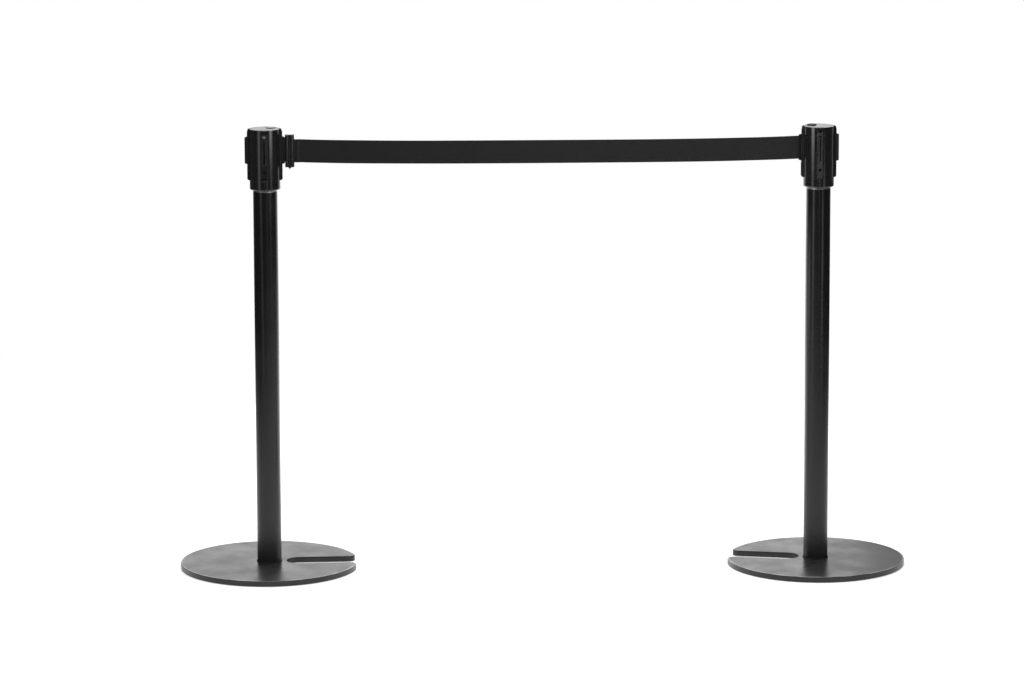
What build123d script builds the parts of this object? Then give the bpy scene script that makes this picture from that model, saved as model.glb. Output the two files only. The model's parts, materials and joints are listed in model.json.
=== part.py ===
from build123d import *
from math import asin, cos, pi, radians, sin, sqrt
import os

os.makedirs("parts", exist_ok=True)

# Driving dimensions, in millimetres and degrees

# The pair: two poles on the X axis, joined by the belt of the feed pole
pole_spacing = 1130.0
pole_height = 914.0

# Base plate, its rubber mat and its nesting slot
base_diameter = 366.0
base_thickness = 11.2
base_edge_round = 1.5
mat_thickness = 1.2
mat_inset = 4.0
slot_clearance = 1.7
slot_land = 10.0
slot_mouth_round = 14.0
feed_slot_turn = 168.5
dock_slot_turn = 3.0

# Bolt that holds the tube to the base
bolt_diameter = 10.0
bolt_head_diameter = 18.0
bolt_head_height = 4.5
bolt_socket_width = 6.0
bolt_socket_depth = 2.5
bolt_recess = 0.6
bolt_grip = 14.0
washer_diameter = 24.0
washer_thickness = 1.6

# Tube
tube_diameter = 50.0
tube_wall = 1.5
gasket_thickness = 1.5
gasket_rim = 1.6
tube_foot_height = 16.0
neck_plug_height = 30.0

# Head body and its neck
head_height = 125.0
head_diameter = 63.0
head_wall = 4.5
head_floor = 5.0
head_bottom_round = 3.5
neck_ring_height = 4.0
neck_ring_inset = 0.5
neck_screw_circle = 30.0
neck_screw_count = 3
neck_screw_diameter = 5.0
neck_screw_head_diameter = 8.5
neck_screw_head_height = 5.0
neck_screw_grip = 10.0
neck_screw_socket_width = 4.0
neck_screw_socket_depth = 2.5
shaft_boss_diameter = 18.0
shaft_boss_height = 6.0

# Lid of the head and the plug on it
cap_thickness = 3.0
cap_edge_bevel = 0.8
cap_seat_wall = 0.8
cap_skirt_wall = 2.0
plug_diameter = 20.0
feed_plug_height = 1.6
dock_plug_height = 1.0
plug_edge_bevel = 0.8
plug_stem_diameter = 9.8
plug_stem_length = 5.0
plug_margin = 0.6
feed_plug_turn = 139.0
dock_plug_turn = 50.0

# Strips on the four sides of the head
strip_width = 12.7
strip_root_width = 15.3
strip_root_height = 1.0
strip_flare_height = 2.5
strip_seat_depth = 2.0
strip_stand_off = 4.5
strip_top_gap = 0.4
strip_top_taper = 1.5
strip_top_taper_height = 8.0
strip_end_bevel = 2.5
strip_edge_round = 1.0
strip_foot = 18.5
strip_screw_diameter = 3.5
strip_screw_head_diameter = 6.2
strip_screw_cross_length = 3.6
strip_screw_cross_width = 0.9
strip_screw_cross_depth = 0.8
lower_screw_gap = 14.5

# Slotted block on a strip, and the T-shaped socket in it
block_height = 56.0
block_width = 8.4
block_stand_off = 5.0
block_end_slope = 1.5
block_edge_round = 0.8
socket_height = 30.0
socket_width = 5.4
socket_lip = 1.6
slit_width = 3.2
slit_groove_depth = 3.0
slit_foot = 4.0

# Exit strip: slit for the belt and the window below it
exit_block_depth = 17.2
exit_block_end_wall = 2.0
exit_screw_gap = 3.8
exit_slit_width = 2.2
exit_slit_end_gap = 1.25
exit_wall_slot_width = 9.0
window_width = 10.3
window_depth = 4.5
window_top_gap = 3.0
window_foot_gap = 1.0

# Belt
belt_width = 47.5
belt_thickness = 0.6
belt_length = 2100.0
belt_sag = 5.4
belt_bend_radius = 4.0
belt_tail_length = 100.0
belt_sewn_length = 14.0

# Belt end: two ribbed shells round a tongue and a pin
clip_length = 18.6
clip_end_margin = 9.25
clip_drop = 1.8
clip_channel_end_gap = 1.25
clip_thickness = 8.0
clip_corner_round = 0.6
clip_rib_radius = 3.0
clip_rib_inset = 4.2
clip_rib_root_round = 0.5
clip_edge_round = 0.4
nub_width = 8.0
nub_height = 4.5
nub_thickness = 5.0
tongue_height = 28.0
tongue_neck = 2.4
tongue_head_width = 4.6
tongue_head_thickness = 2.4
tongue_anchor_width = 5.0
tongue_anchor_thickness = 1.6
tongue_anchor_depth = 3.1
tongue_foot_depth = 0.8
pin_diameter = 3.0
pin_end = 2.0
pin_inset = 6.5
clip_screw_diameter = 2.2
clip_screw_head_diameter = 3.8
clip_screw_head_height = 1.6
clip_screw_margin = 3.5
clip_screw_grip = 2.4
clip_screw_slot_width = 0.8
clip_screw_slot_depth = 1.0

# Belt cassette
shaft_diameter = 10.0
shaft_collar_height = 5.0
shaft_top_reach = 3.0
bush_wall = 2.0
bush_length = 12.0
bush_flange_width = 2.0
bush_flange_thickness = 1.0
drum_diameter = 24.0
drum_flange_thickness = 2.5
drum_side_gap = 1.5
belt_side_gap = 1.75
barrel_wall = 2.0
spring_cover_thickness = 3.0
spring_thickness = 0.35
spring_turns = 10
spring_tab = 2.4
spring_end_gap = 1.5
bearing_plate_thickness = 4.0
bearing_plate_ledge = 1.0
bearing_window_diameter = 12.0
bearing_window_circle = 36.0
bearing_window_count = 3
shaft_clip_thickness = 1.0
shaft_clip_width = 3.0
shaft_clip_groove = 0.6
shaft_clip_opening = 4.0

# Clearances
seat_fit = 0.1
running_fit = 0.05
thrust_gap = 0.2
loose_gap = 0.3
clip_gap = 0.4
plate_play = 1.0

# Heights above the floor
base_bottom = mat_thickness
base_top = base_bottom + base_thickness
tube_bottom = base_top + gasket_thickness
head_top = pole_height
head_bottom = head_top - head_height
head_floor_top = head_bottom + head_floor
tube_top = head_bottom - neck_ring_height
cap_bottom = head_top - cap_thickness
counterbore_depth = bolt_recess + bolt_head_height + washer_thickness

# Radii about a pole's axis
tube_bore_radius = tube_diameter / 2 - tube_wall
slot_width = tube_diameter + 2 * slot_clearance
slot_start = tube_diameter / 2 + slot_land
head_bore_radius = head_diameter / 2 - head_wall
strip_seat = head_diameter / 2 - strip_seat_depth
strip_face = head_diameter / 2 + strip_stand_off
block_face = strip_face + block_stand_off
cap_seat_radius = strip_seat - cap_seat_wall
bearing_seat_radius = head_bore_radius + bearing_plate_ledge
plug_radius = cap_seat_radius - plug_diameter / 2 - plug_margin

# Depths below the head's top
exit_slit_height = belt_width + 2 * exit_slit_end_gap
exit_block_height = exit_slit_height + 2 * exit_block_end_wall
belt_depth = exit_block_depth + exit_block_height / 2
block_depth = belt_depth - block_height / 2
receiver_screw_depth = block_depth / 2
exit_screw_depth = exit_block_depth - exit_screw_gap
lower_screw_depth = belt_depth + block_height / 2 + lower_screw_gap
strip_length = lower_screw_depth + strip_foot
window_top_depth = exit_block_depth + exit_block_height + window_top_gap
window_foot_depth = strip_length - strip_end_bevel - window_foot_gap

# Belt line
feed_x = pole_spacing / 2
dock_x = -pole_spacing / 2
exit_belt_z = head_top - belt_depth
clip_belt_z = exit_belt_z - clip_drop
clip_start = block_face + clip_gap
clip_end = clip_start + clip_length
clip_height = belt_width + 2 * clip_end_margin
clip_bottom = clip_belt_z - clip_height / 2
clip_screw_reach = clip_height / 2 - clip_screw_margin
clip_waist = (clip_start + clip_end) / 2
pin_place = clip_end - pin_inset
tongue_bottom = head_top - block_depth - socket_height + thrust_gap
slit_bottom = exit_belt_z - block_height / 2 + slit_foot
run_start_x = dock_x + clip_end + belt_sewn_length
run_end_x = feed_x - block_face
tail_seam_x = dock_x + clip_end + belt_tail_length

# Heights inside the belt cassette
belt_room = belt_width / 2 + belt_side_gap
drum_bottom = exit_belt_z - belt_room - drum_flange_thickness
drum_top = exit_belt_z + belt_room + drum_flange_thickness
shaft_boss_top = head_floor_top + shaft_boss_height
collar_top = shaft_boss_top + shaft_collar_height
cover_bottom = collar_top + thrust_gap + bush_flange_thickness
barrel_bottom = cover_bottom + spring_cover_thickness
bearing_plate_bottom = drum_top + bush_flange_thickness + plate_play
bearing_plate_top = bearing_plate_bottom + bearing_plate_thickness
shaft_top = bearing_plate_top + shaft_top_reach
cap_skirt_bottom = bearing_plate_top + loose_gap
spring_height = drum_bottom - barrel_bottom - 2 * spring_end_gap

# Radii inside the belt cassette
shaft_radius = shaft_diameter / 2
bush_bore_radius = shaft_radius + running_fit
bush_radius = shaft_radius + bush_wall
flange_radius = head_bore_radius - drum_side_gap
barrel_bore_radius = flange_radius - barrel_wall
spring_inner_radius = shaft_radius + loose_gap
spring_room = barrel_bore_radius - loose_gap - spring_inner_radius - spring_thickness
spring_pitch = spring_room / spring_turns
belt_out = run_end_x - (dock_x + clip_end)
belt_stored = belt_length - belt_out
roll_radius = sqrt((drum_diameter / 2) ** 2 + belt_stored * belt_thickness / pi)
drum_pull_radius = roll_radius + belt_thickness / 2

from_bottom = (Align.CENTER, Align.CENTER, Align.MIN)
from_top = (Align.CENTER, Align.CENTER, Align.MAX)


class Pole:
    # A pole stands at x; its belt exit, nesting slot and cap plug each look a way of their own
    def __init__(self, name, x, exit_turn, slot_turn, plug_turn, plug_height):
        self.name = name
        self.x = x
        self.exit_turn = exit_turn
        self.slot_turn = slot_turn
        self.plug_turn = plug_turn
        self.plug_height = plug_height
        self.axis = Axis((x, 0, 0), (0, 0, 1))

    # Horizontal plane at height z, its X turned by an angle
    def level(self, z, turn=0.0):
        return Plane(origin=(self.x, 0, z), x_dir=(cos(radians(turn)), sin(radians(turn)), 0))

    # The same plane seen from below
    def under(self, z):
        return Plane(origin=(self.x, 0, z), x_dir=(1, 0, 0), z_dir=(0, 0, -1))

    # Upright plane that looks outwards, with its Y up
    def face(self, turn, distance, z=0.0):
        c = cos(radians(turn))
        s = sin(radians(turn))
        return Plane(origin=(self.x + distance * c, distance * s, z), x_dir=(-s, c, 0), z_dir=(c, s, 0))

    # Upright plane through the axis, with its X outwards and its Y up
    def section(self, turn=0.0):
        c = cos(radians(turn))
        s = sin(radians(turn))
        return Plane(origin=(self.x, 0, 0), x_dir=(c, s, 0), z_dir=(s, -c, 0))

    # Axis that points outwards
    def outwards(self, turn):
        return Axis((self.x, 0, 0), (cos(radians(turn)), sin(radians(turn)), 0))

    def receiver_turns(self):
        return [self.exit_turn + 90, self.exit_turn + 180, self.exit_turn + 270]


feed = Pole("feed", feed_x, 180.0, feed_slot_turn, feed_plug_turn, feed_plug_height)
dock = Pole("dock", dock_x, 270.0, dock_slot_turn, dock_plug_turn, dock_plug_height)


def save(piece, name):
    piece.part.label = name
    export_step(piece.part, f"parts/{name}.step")


# Base

def base_outline(plane, inset):
    radius = base_diameter / 2 - inset
    half = slot_width / 2 + inset
    end_centre = slot_start + slot_width / 2
    with BuildSketch(plane) as outline:
        Circle(radius)
        with Locations((end_centre, 0)):
            Circle(half, mode=Mode.SUBTRACT)
            Rectangle(radius, 2 * half, align=(Align.MIN, Align.CENTER), mode=Mode.SUBTRACT)
        fillet(outline.vertices().sort_by(Axis.X)[-2:], slot_mouth_round)
    return outline.sketch


def base_plate(pole):
    with BuildPart() as plate:
        extrude(base_outline(pole.level(base_bottom, pole.slot_turn), 0), amount=base_thickness)
        fillet(plate.faces().sort_by(Axis.Z)[-1].edges(), base_edge_round)
        with Locations(pole.under(base_bottom)):
            CounterBoreHole(
                radius=bolt_diameter / 2 + seat_fit,
                counter_bore_radius=washer_diameter / 2 + loose_gap,
                counter_bore_depth=counterbore_depth,
                depth=base_thickness,
            )
    return plate


def base_mat(pole):
    with BuildPart() as mat:
        extrude(base_outline(pole.level(0, pole.slot_turn), mat_inset), amount=mat_thickness)
        with Locations(pole.under(0)):
            Hole(washer_diameter / 2 + loose_gap, mat_thickness)
    return mat


def base_washer(pole):
    with BuildPart() as washer:
        with BuildSketch(pole.level(base_bottom + counterbore_depth - washer_thickness)):
            Circle(washer_diameter / 2)
            Circle(bolt_diameter / 2 + seat_fit, mode=Mode.SUBTRACT)
        extrude(amount=washer_thickness)
    return washer


def base_bolt(pole):
    head_bottom_z = base_bottom + bolt_recess
    shank_top = tube_bottom + bolt_grip
    with BuildPart() as bolt:
        with Locations(pole.level(head_bottom_z)):
            Cylinder(bolt_head_diameter / 2, bolt_head_height, align=from_bottom)
            Cylinder(bolt_diameter / 2, shank_top - head_bottom_z, align=from_bottom)
        with BuildSketch(pole.level(head_bottom_z)):
            RegularPolygon(bolt_socket_width / 2, 6, major_radius=False)
        extrude(amount=bolt_socket_depth, mode=Mode.SUBTRACT)
    return bolt


def foot_gasket(pole):
    with BuildPart() as gasket:
        with BuildSketch(pole.level(base_top)):
            Circle(tube_diameter / 2 + gasket_rim)
            Circle(bolt_diameter / 2 + seat_fit, mode=Mode.SUBTRACT)
        extrude(amount=gasket_thickness)
        rim = gasket.faces().sort_by(Axis.Z)[-1].outer_wire().edges()
        chamfer(rim, min(gasket_rim, gasket_thickness) / 2)
    return gasket


# Tube and neck

def tube(pole):
    with BuildPart() as pipe:
        with BuildSketch(pole.level(tube_bottom)):
            Circle(tube_diameter / 2)
            Circle(tube_bore_radius, mode=Mode.SUBTRACT)
        extrude(amount=tube_top - tube_bottom)
        chamfer(pipe.faces().sort_by(Axis.Z)[-1].outer_wire().edges(), tube_wall / 2)
    return pipe


def tube_foot(pole):
    with BuildPart() as disc:
        with BuildSketch(pole.level(tube_bottom)):
            Circle(tube_bore_radius - seat_fit)
            Circle(bolt_diameter / 2 + seat_fit, mode=Mode.SUBTRACT)
        extrude(amount=tube_foot_height)
    return disc


def neck_plug(pole):
    with BuildPart() as plug:
        with BuildSketch(pole.level(tube_top - neck_plug_height)):
            Circle(tube_bore_radius - seat_fit)
        extrude(amount=neck_plug_height)
        with BuildSketch(pole.level(tube_top)):
            with PolarLocations(neck_screw_circle / 2, neck_screw_count):
                Circle(neck_screw_diameter / 2 + seat_fit)
        extrude(amount=-(neck_screw_grip + loose_gap), mode=Mode.SUBTRACT)
    return plug


def neck_ring(pole):
    with BuildPart() as ring:
        with BuildSketch(pole.level(tube_top)):
            Circle(tube_diameter / 2 - neck_ring_inset)
            with PolarLocations(neck_screw_circle / 2, neck_screw_count):
                Circle(neck_screw_diameter / 2 + seat_fit, mode=Mode.SUBTRACT)
        extrude(amount=neck_ring_height)
    return ring


def neck_screws(pole):
    shank = head_floor + neck_ring_height + neck_screw_grip
    with BuildPart() as screws:
        with BuildSketch(pole.level(head_floor_top)):
            with PolarLocations(neck_screw_circle / 2, neck_screw_count):
                Circle(neck_screw_head_diameter / 2)
        extrude(amount=neck_screw_head_height)
        with BuildSketch(pole.level(head_floor_top)):
            with PolarLocations(neck_screw_circle / 2, neck_screw_count):
                Circle(neck_screw_diameter / 2)
        extrude(amount=-shank)
        with BuildSketch(pole.level(head_floor_top + neck_screw_head_height)):
            with PolarLocations(neck_screw_circle / 2, neck_screw_count):
                RegularPolygon(neck_screw_socket_width / 2, 6, major_radius=False)
        extrude(amount=-neck_screw_socket_depth, mode=Mode.SUBTRACT)
    return screws


# Head

def head_body(pole):
    with BuildPart() as body:
        with BuildSketch(pole.level(head_bottom)):
            Circle(head_diameter / 2)
        extrude(amount=head_height)
        fillet(body.faces().sort_by(Axis.Z)[0].edges(), head_bottom_round)
        with BuildSketch(pole.level(head_floor_top)):
            Circle(head_bore_radius)
        extrude(amount=head_height, mode=Mode.SUBTRACT)
        with BuildSketch(pole.level(bearing_plate_bottom)):
            Circle(bearing_seat_radius)
        extrude(amount=head_height, mode=Mode.SUBTRACT)
        with BuildSketch(pole.level(cap_bottom)):
            Circle(cap_seat_radius)
        extrude(amount=head_height, mode=Mode.SUBTRACT)
        with BuildSketch(pole.level(head_floor_top)):
            Circle(shaft_boss_diameter / 2)
        extrude(amount=shaft_boss_height)
        with BuildSketch(pole.level(shaft_boss_top)):
            Circle(shaft_radius + running_fit)
        extrude(amount=-shaft_boss_height, mode=Mode.SUBTRACT)
        with BuildSketch(pole.level(head_floor_top)):
            with PolarLocations(neck_screw_circle / 2, neck_screw_count):
                Circle(neck_screw_diameter / 2 + seat_fit)
        extrude(amount=-head_floor, mode=Mode.SUBTRACT)
        for turn in [pole.exit_turn, *pole.receiver_turns()]:
            with BuildSketch(pole.face(turn, strip_seat)):
                with Locations((0, head_top)):
                    Rectangle(
                        strip_root_width + 2 * seat_fit,
                        strip_length + seat_fit,
                        align=(Align.CENTER, Align.MAX),
                    )
            extrude(amount=strip_face, mode=Mode.SUBTRACT)
            for depth in screw_depths(pole, turn):
                with Locations(pole.face(turn, strip_seat, head_top - depth)):
                    Hole(strip_screw_diameter / 2 + seat_fit, strip_seat)
        with BuildSketch(pole.face(pole.exit_turn, 0)):
            with Locations((0, exit_belt_z)):
                Rectangle(exit_wall_slot_width, exit_slit_height)
        extrude(amount=strip_face, mode=Mode.SUBTRACT)
    return body


def screw_depths(pole, turn):
    if turn == pole.exit_turn:
        return [exit_screw_depth, lower_screw_depth]
    return [receiver_screw_depth, lower_screw_depth]


# Strip with a flared root and a raised block, before its slits and holes
def strip_blank(pole, turn, raised_height):
    top = head_top - strip_top_gap
    bottom = head_top - strip_length
    root_top = strip_seat + strip_root_height
    flare_top = root_top + strip_flare_height
    block_low = exit_belt_z - raised_height / 2
    block_high = exit_belt_z + raised_height / 2
    with BuildPart() as blank:
        with BuildSketch(pole.section(turn)):
            with BuildLine():
                Polyline(
                    (strip_seat, bottom),
                    (strip_face - strip_end_bevel, bottom),
                    (strip_face, bottom + strip_end_bevel),
                    (strip_face, top - strip_top_taper_height),
                    (strip_face - strip_top_taper, top),
                    (strip_seat, top),
                    close=True,
                )
            make_face()
        extrude(amount=strip_root_width / 2, both=True)
        with BuildSketch(pole.level(bottom, turn)):
            with BuildLine():
                Polyline(
                    (strip_seat, -strip_root_width / 2),
                    (root_top, -strip_root_width / 2),
                    (flare_top, -strip_width / 2),
                    (strip_face, -strip_width / 2),
                    (strip_face, strip_width / 2),
                    (flare_top, strip_width / 2),
                    (root_top, strip_root_width / 2),
                    (strip_seat, strip_root_width / 2),
                    close=True,
                )
            make_face()
        extrude(amount=strip_length, mode=Mode.INTERSECT)
        long_edges = blank.edges().filter_by(Axis.Z).group_by(pole.outwards(turn))[-1]
        fillet(long_edges, strip_edge_round)
        with BuildSketch(pole.section(turn)):
            with BuildLine():
                Polyline(
                    (strip_seat, block_low),
                    (strip_face, block_low),
                    (block_face, block_low + block_end_slope),
                    (block_face, block_high - block_end_slope),
                    (strip_face, block_high),
                    (strip_seat, block_high),
                    close=True,
                )
            make_face()
        extrude(amount=block_width / 2, both=True)
        block_edges = blank.edges().filter_by(Axis.Z).group_by(pole.outwards(turn))[-1]
        fillet(block_edges, block_edge_round)
    return blank.part


def receiver(pole, turn):
    block_high = head_top - block_depth
    with BuildPart() as strip:
        add(strip_blank(pole, turn, block_height))
        # T-shaped socket, open at the block's top
        with BuildSketch(pole.face(turn, strip_face)):
            with Locations((0, block_high)):
                Rectangle(socket_width, socket_height, align=(Align.CENTER, Align.MAX))
        extrude(amount=block_stand_off - socket_lip, mode=Mode.SUBTRACT)
        with BuildSketch(pole.face(turn, strip_face)):
            with Locations((0, block_high)):
                Rectangle(slit_width, socket_height, align=(Align.CENTER, Align.MAX))
        extrude(amount=block_stand_off, mode=Mode.SUBTRACT)
        # The slit runs on below the socket as a shallow groove
        with BuildSketch(pole.face(turn, block_face)):
            with Locations((0, slit_bottom)):
                Rectangle(slit_width, block_high - slit_bottom, align=(Align.CENTER, Align.MIN))
        extrude(amount=-slit_groove_depth, mode=Mode.SUBTRACT)
        for depth in screw_depths(pole, turn):
            with Locations(pole.face(turn, strip_face, head_top - depth)):
                screw_hole(strip_face - strip_seat)
    return strip


def exit_plate(pole):
    turn = pole.exit_turn
    window_mid = head_top - (window_top_depth + window_foot_depth) / 2
    with BuildPart() as strip:
        add(strip_blank(pole, turn, exit_block_height))
        with BuildSketch(pole.face(turn, strip_seat)):
            with Locations((0, exit_belt_z)):
                Rectangle(exit_slit_width, exit_slit_height)
        extrude(amount=block_face - strip_seat, mode=Mode.SUBTRACT)
        with BuildSketch(pole.face(turn, strip_face)):
            with Locations((0, window_mid)):
                Rectangle(window_width, window_foot_depth - window_top_depth)
        extrude(amount=-window_depth, mode=Mode.SUBTRACT)
        with Locations(pole.face(turn, strip_face, head_top - exit_screw_depth)):
            screw_hole(strip_face - strip_seat)
        with Locations(pole.face(turn, strip_face - window_depth, head_top - lower_screw_depth)):
            screw_hole(strip_face - window_depth - strip_seat)
    return strip


def screw_hole(depth):
    CounterSinkHole(
        radius=strip_screw_diameter / 2 + seat_fit,
        counter_sink_radius=strip_screw_head_diameter / 2 + seat_fit,
        depth=depth,
        counter_sink_angle=90,
    )


def plate_screws(pole):
    head_radius = strip_screw_head_diameter / 2
    shank_radius = strip_screw_diameter / 2
    tip = head_bore_radius + bearing_plate_ledge + loose_gap
    with BuildPart() as screws:
        for turn in [pole.exit_turn, *pole.receiver_turns()]:
            for depth in screw_depths(pole, turn):
                in_window = turn == pole.exit_turn and depth == lower_screw_depth
                head_face = strip_face - window_depth if in_window else strip_face
                with Locations(pole.face(turn, head_face, head_top - depth)):
                    Cone(shank_radius, head_radius, head_radius - shank_radius, align=from_top)
                    Cylinder(shank_radius, head_face - tip, align=from_top)
                    with Locations(Rotation(0, 0, 0), Rotation(0, 0, 90)):
                        Box(
                            strip_screw_cross_length,
                            strip_screw_cross_width,
                            strip_screw_cross_depth,
                            align=from_top,
                            mode=Mode.SUBTRACT,
                        )
    return screws


def top_cap(pole):
    with BuildPart() as cap:
        with BuildSketch(pole.level(cap_bottom)):
            Circle(cap_seat_radius - seat_fit)
        extrude(amount=cap_thickness)
        chamfer(cap.faces().sort_by(Axis.Z)[-1].edges(), cap_edge_bevel)
        with BuildSketch(pole.level(cap_skirt_bottom)):
            Circle(bearing_seat_radius - seat_fit)
            Circle(bearing_seat_radius - seat_fit - cap_skirt_wall, mode=Mode.SUBTRACT)
        extrude(amount=cap_bottom - cap_skirt_bottom)
        with BuildSketch(pole.level(cap_bottom, pole.plug_turn)):
            with Locations((plug_radius, 0)):
                Circle(plug_stem_diameter / 2 + seat_fit)
        extrude(amount=cap_thickness, mode=Mode.SUBTRACT)
    return cap


def cap_plug(pole):
    with BuildPart() as plug:
        with BuildSketch(pole.level(head_top, pole.plug_turn)):
            with Locations((plug_radius, 0)):
                Circle(plug_diameter / 2)
        extrude(amount=pole.plug_height)
        chamfer(plug.faces().sort_by(Axis.Z)[-1].edges(), plug_edge_bevel)
        with BuildSketch(pole.level(head_top, pole.plug_turn)):
            with Locations((plug_radius, 0)):
                Circle(plug_stem_diameter / 2)
        extrude(amount=-plug_stem_length)
    return plug


# Belt cassette

def spool_shaft():
    groove = bearing_plate_top + thrust_gap
    with BuildPart() as shaft:
        with Locations(feed.level(head_floor_top)):
            Cylinder(shaft_radius, shaft_top - head_floor_top, align=from_bottom)
        with Locations(feed.level(shaft_boss_top)):
            Cylinder(bush_radius + bush_flange_width, shaft_collar_height, align=from_bottom)
        with BuildSketch(feed.level(groove)):
            Circle(shaft_diameter)
            Circle(shaft_radius - shaft_clip_groove, mode=Mode.SUBTRACT)
        extrude(amount=shaft_clip_thickness + thrust_gap, mode=Mode.SUBTRACT)
        # Slot for the spring's inner end
        with BuildSketch(feed.level(barrel_bottom + spring_end_gap - seat_fit)):
            with Locations((shaft_radius - spring_tab - seat_fit, -spring_thickness / 2)):
                Rectangle(
                    shaft_diameter,
                    spring_thickness + 2 * seat_fit,
                    align=(Align.MIN, Align.CENTER),
                )
        extrude(amount=spring_height + 2 * seat_fit, mode=Mode.SUBTRACT)
    return shaft


def shaft_clip():
    inner = shaft_radius - shaft_clip_groove + seat_fit
    with BuildPart() as ring:
        with BuildSketch(feed.level(bearing_plate_top + thrust_gap)):
            Circle(inner + shaft_clip_width)
            Circle(inner, mode=Mode.SUBTRACT)
            Rectangle(
                shaft_diameter,
                shaft_clip_opening,
                align=(Align.MIN, Align.CENTER),
                mode=Mode.SUBTRACT,
            )
        extrude(amount=shaft_clip_thickness)
    return ring


def bearing_plate():
    with BuildPart() as plate:
        with BuildSketch(feed.level(bearing_plate_bottom)):
            Circle(bearing_seat_radius - seat_fit)
            Circle(shaft_radius + running_fit, mode=Mode.SUBTRACT)
            with PolarLocations(bearing_window_circle / 2, bearing_window_count):
                Circle(bearing_window_diameter / 2, mode=Mode.SUBTRACT)
        extrude(amount=bearing_plate_thickness)
    return plate


def bush(flange_z, up, length):
    way = 1 if up else -1
    with BuildPart() as sleeve:
        with BuildSketch(feed.level(flange_z)):
            Circle(bush_radius + bush_flange_width)
            Circle(bush_bore_radius, mode=Mode.SUBTRACT)
        extrude(amount=-way * bush_flange_thickness)
        with BuildSketch(feed.level(flange_z)):
            Circle(bush_radius - running_fit)
            Circle(bush_bore_radius, mode=Mode.SUBTRACT)
        extrude(amount=way * length)
    return sleeve


def spool_drum():
    core = drum_diameter / 2
    with BuildPart() as drum:
        with BuildSketch(feed.section()):
            with BuildLine():
                Polyline(
                    (bush_radius, drum_bottom),
                    (barrel_bore_radius, drum_bottom),
                    (barrel_bore_radius, barrel_bottom),
                    (flange_radius, barrel_bottom),
                    (flange_radius, drum_bottom + drum_flange_thickness),
                    (core, drum_bottom + drum_flange_thickness),
                    (core, drum_top - drum_flange_thickness),
                    (flange_radius, drum_top - drum_flange_thickness),
                    (flange_radius, drum_top),
                    (bush_radius, drum_top),
                    close=True,
                )
            make_face()
        revolve(axis=feed.axis)
    return drum


def spring_cover():
    with BuildPart() as cover:
        with BuildSketch(feed.level(cover_bottom)):
            Circle(flange_radius)
            Circle(bush_radius, mode=Mode.SUBTRACT)
        extrude(amount=spring_cover_thickness)
    return cover


# Flat spiral: half turns whose centres swap sides, so that each half turn gains half a pitch
def spiral_side(start_radius, half_turns):
    for i in range(half_turns):
        side = 1 if i % 2 == 0 else -1
        centre = 0 if i % 2 == 0 else spring_pitch / 2
        radius = start_radius + i * spring_pitch / 2
        ThreePointArc(
            (centre + side * radius, 0),
            (centre, side * radius),
            (centre - side * radius, 0),
        )


# The inner end is bent into a slot in the shaft
def clock_spring():
    inner = spring_inner_radius
    outer = inner + spring_thickness
    with BuildPart() as spring:
        with BuildSketch(feed.level(barrel_bottom + spring_end_gap)):
            with BuildLine():
                spiral_side(inner, 2 * spring_turns)
                spiral_side(outer, 2 * spring_turns)
                Line((inner, 0), (outer, 0))
                Line((inner + spring_room, 0), (outer + spring_room, 0))
            make_face()
            with Locations((shaft_radius - spring_tab, 0)):
                Rectangle(
                    spring_tab + outer - shaft_radius,
                    spring_thickness,
                    align=(Align.MIN, Align.MAX),
                )
        extrude(amount=spring_height)
    return spring


def wound_belt():
    with BuildPart() as roll:
        with BuildSketch(feed.level(exit_belt_z - belt_width / 2)):
            Circle(roll_radius)
            Circle(drum_diameter / 2 + seat_fit, mode=Mode.SUBTRACT)
        extrude(amount=belt_width)
    return roll


# Belt between the poles, a hanging band seen from the front
def belt_run(start_x, end_x):
    mid_x = (run_start_x + run_end_x) / 2
    mid_z = (clip_belt_z + exit_belt_z) / 2 - belt_sag
    half = belt_width / 2
    with BuildPart() as band:
        with BuildSketch(Plane.XZ):
            with BuildLine():
                ThreePointArc(
                    (run_start_x, clip_belt_z - half),
                    (mid_x, mid_z - half),
                    (run_end_x, exit_belt_z - half),
                )
                Line((run_end_x, exit_belt_z - half), (run_end_x, exit_belt_z + half))
                ThreePointArc(
                    (run_end_x, exit_belt_z + half),
                    (mid_x, mid_z + half),
                    (run_start_x, clip_belt_z + half),
                )
                Line((run_start_x, clip_belt_z + half), (run_start_x, clip_belt_z - half))
            make_face()
        extrude(amount=belt_thickness / 2, both=True)
        split(bisect_by=Plane(origin=(start_x, 0, 0), z_dir=(1, 0, 0)), keep=Keep.TOP)
        split(bisect_by=Plane(origin=(end_x, 0, 0), z_dir=(1, 0, 0)), keep=Keep.BOTTOM)
    return band.part


def belt_web():
    # Inside the head the belt leaves the roll at a tangent and bends into the slit
    roll_line = drum_pull_radius + loose_gap
    bend = head_bore_radius
    lean = asin(roll_line / bend)
    with BuildPart() as web:
        add(belt_run(tail_seam_x + loose_gap, run_end_x))
        with BuildSketch(feed.level(exit_belt_z - belt_width / 2, feed.exit_turn)):
            with BuildLine() as path:
                FilletPolyline(
                    (roll_line * sin(lean), -roll_line * cos(lean)),
                    (bend, 0),
                    (block_face, 0),
                    radius=belt_bend_radius,
                )
            trace(path.edges(), belt_thickness)
        extrude(amount=belt_width)
    return web


def belt_tail():
    loop = pin_diameter / 2 + seat_fit
    with BuildPart() as tail:
        add(belt_run(run_start_x, tail_seam_x))
        with BuildSketch(dock.level(clip_belt_z - belt_width / 2)):
            with Locations((pin_place, 0)):
                Circle(loop + belt_thickness)
                Rectangle(
                    clip_end + belt_sewn_length - pin_place,
                    2 * belt_thickness,
                    align=(Align.MIN, Align.CENTER),
                )
                Circle(loop, mode=Mode.SUBTRACT)
        extrude(amount=belt_width)
    return tail


# Belt end

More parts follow.
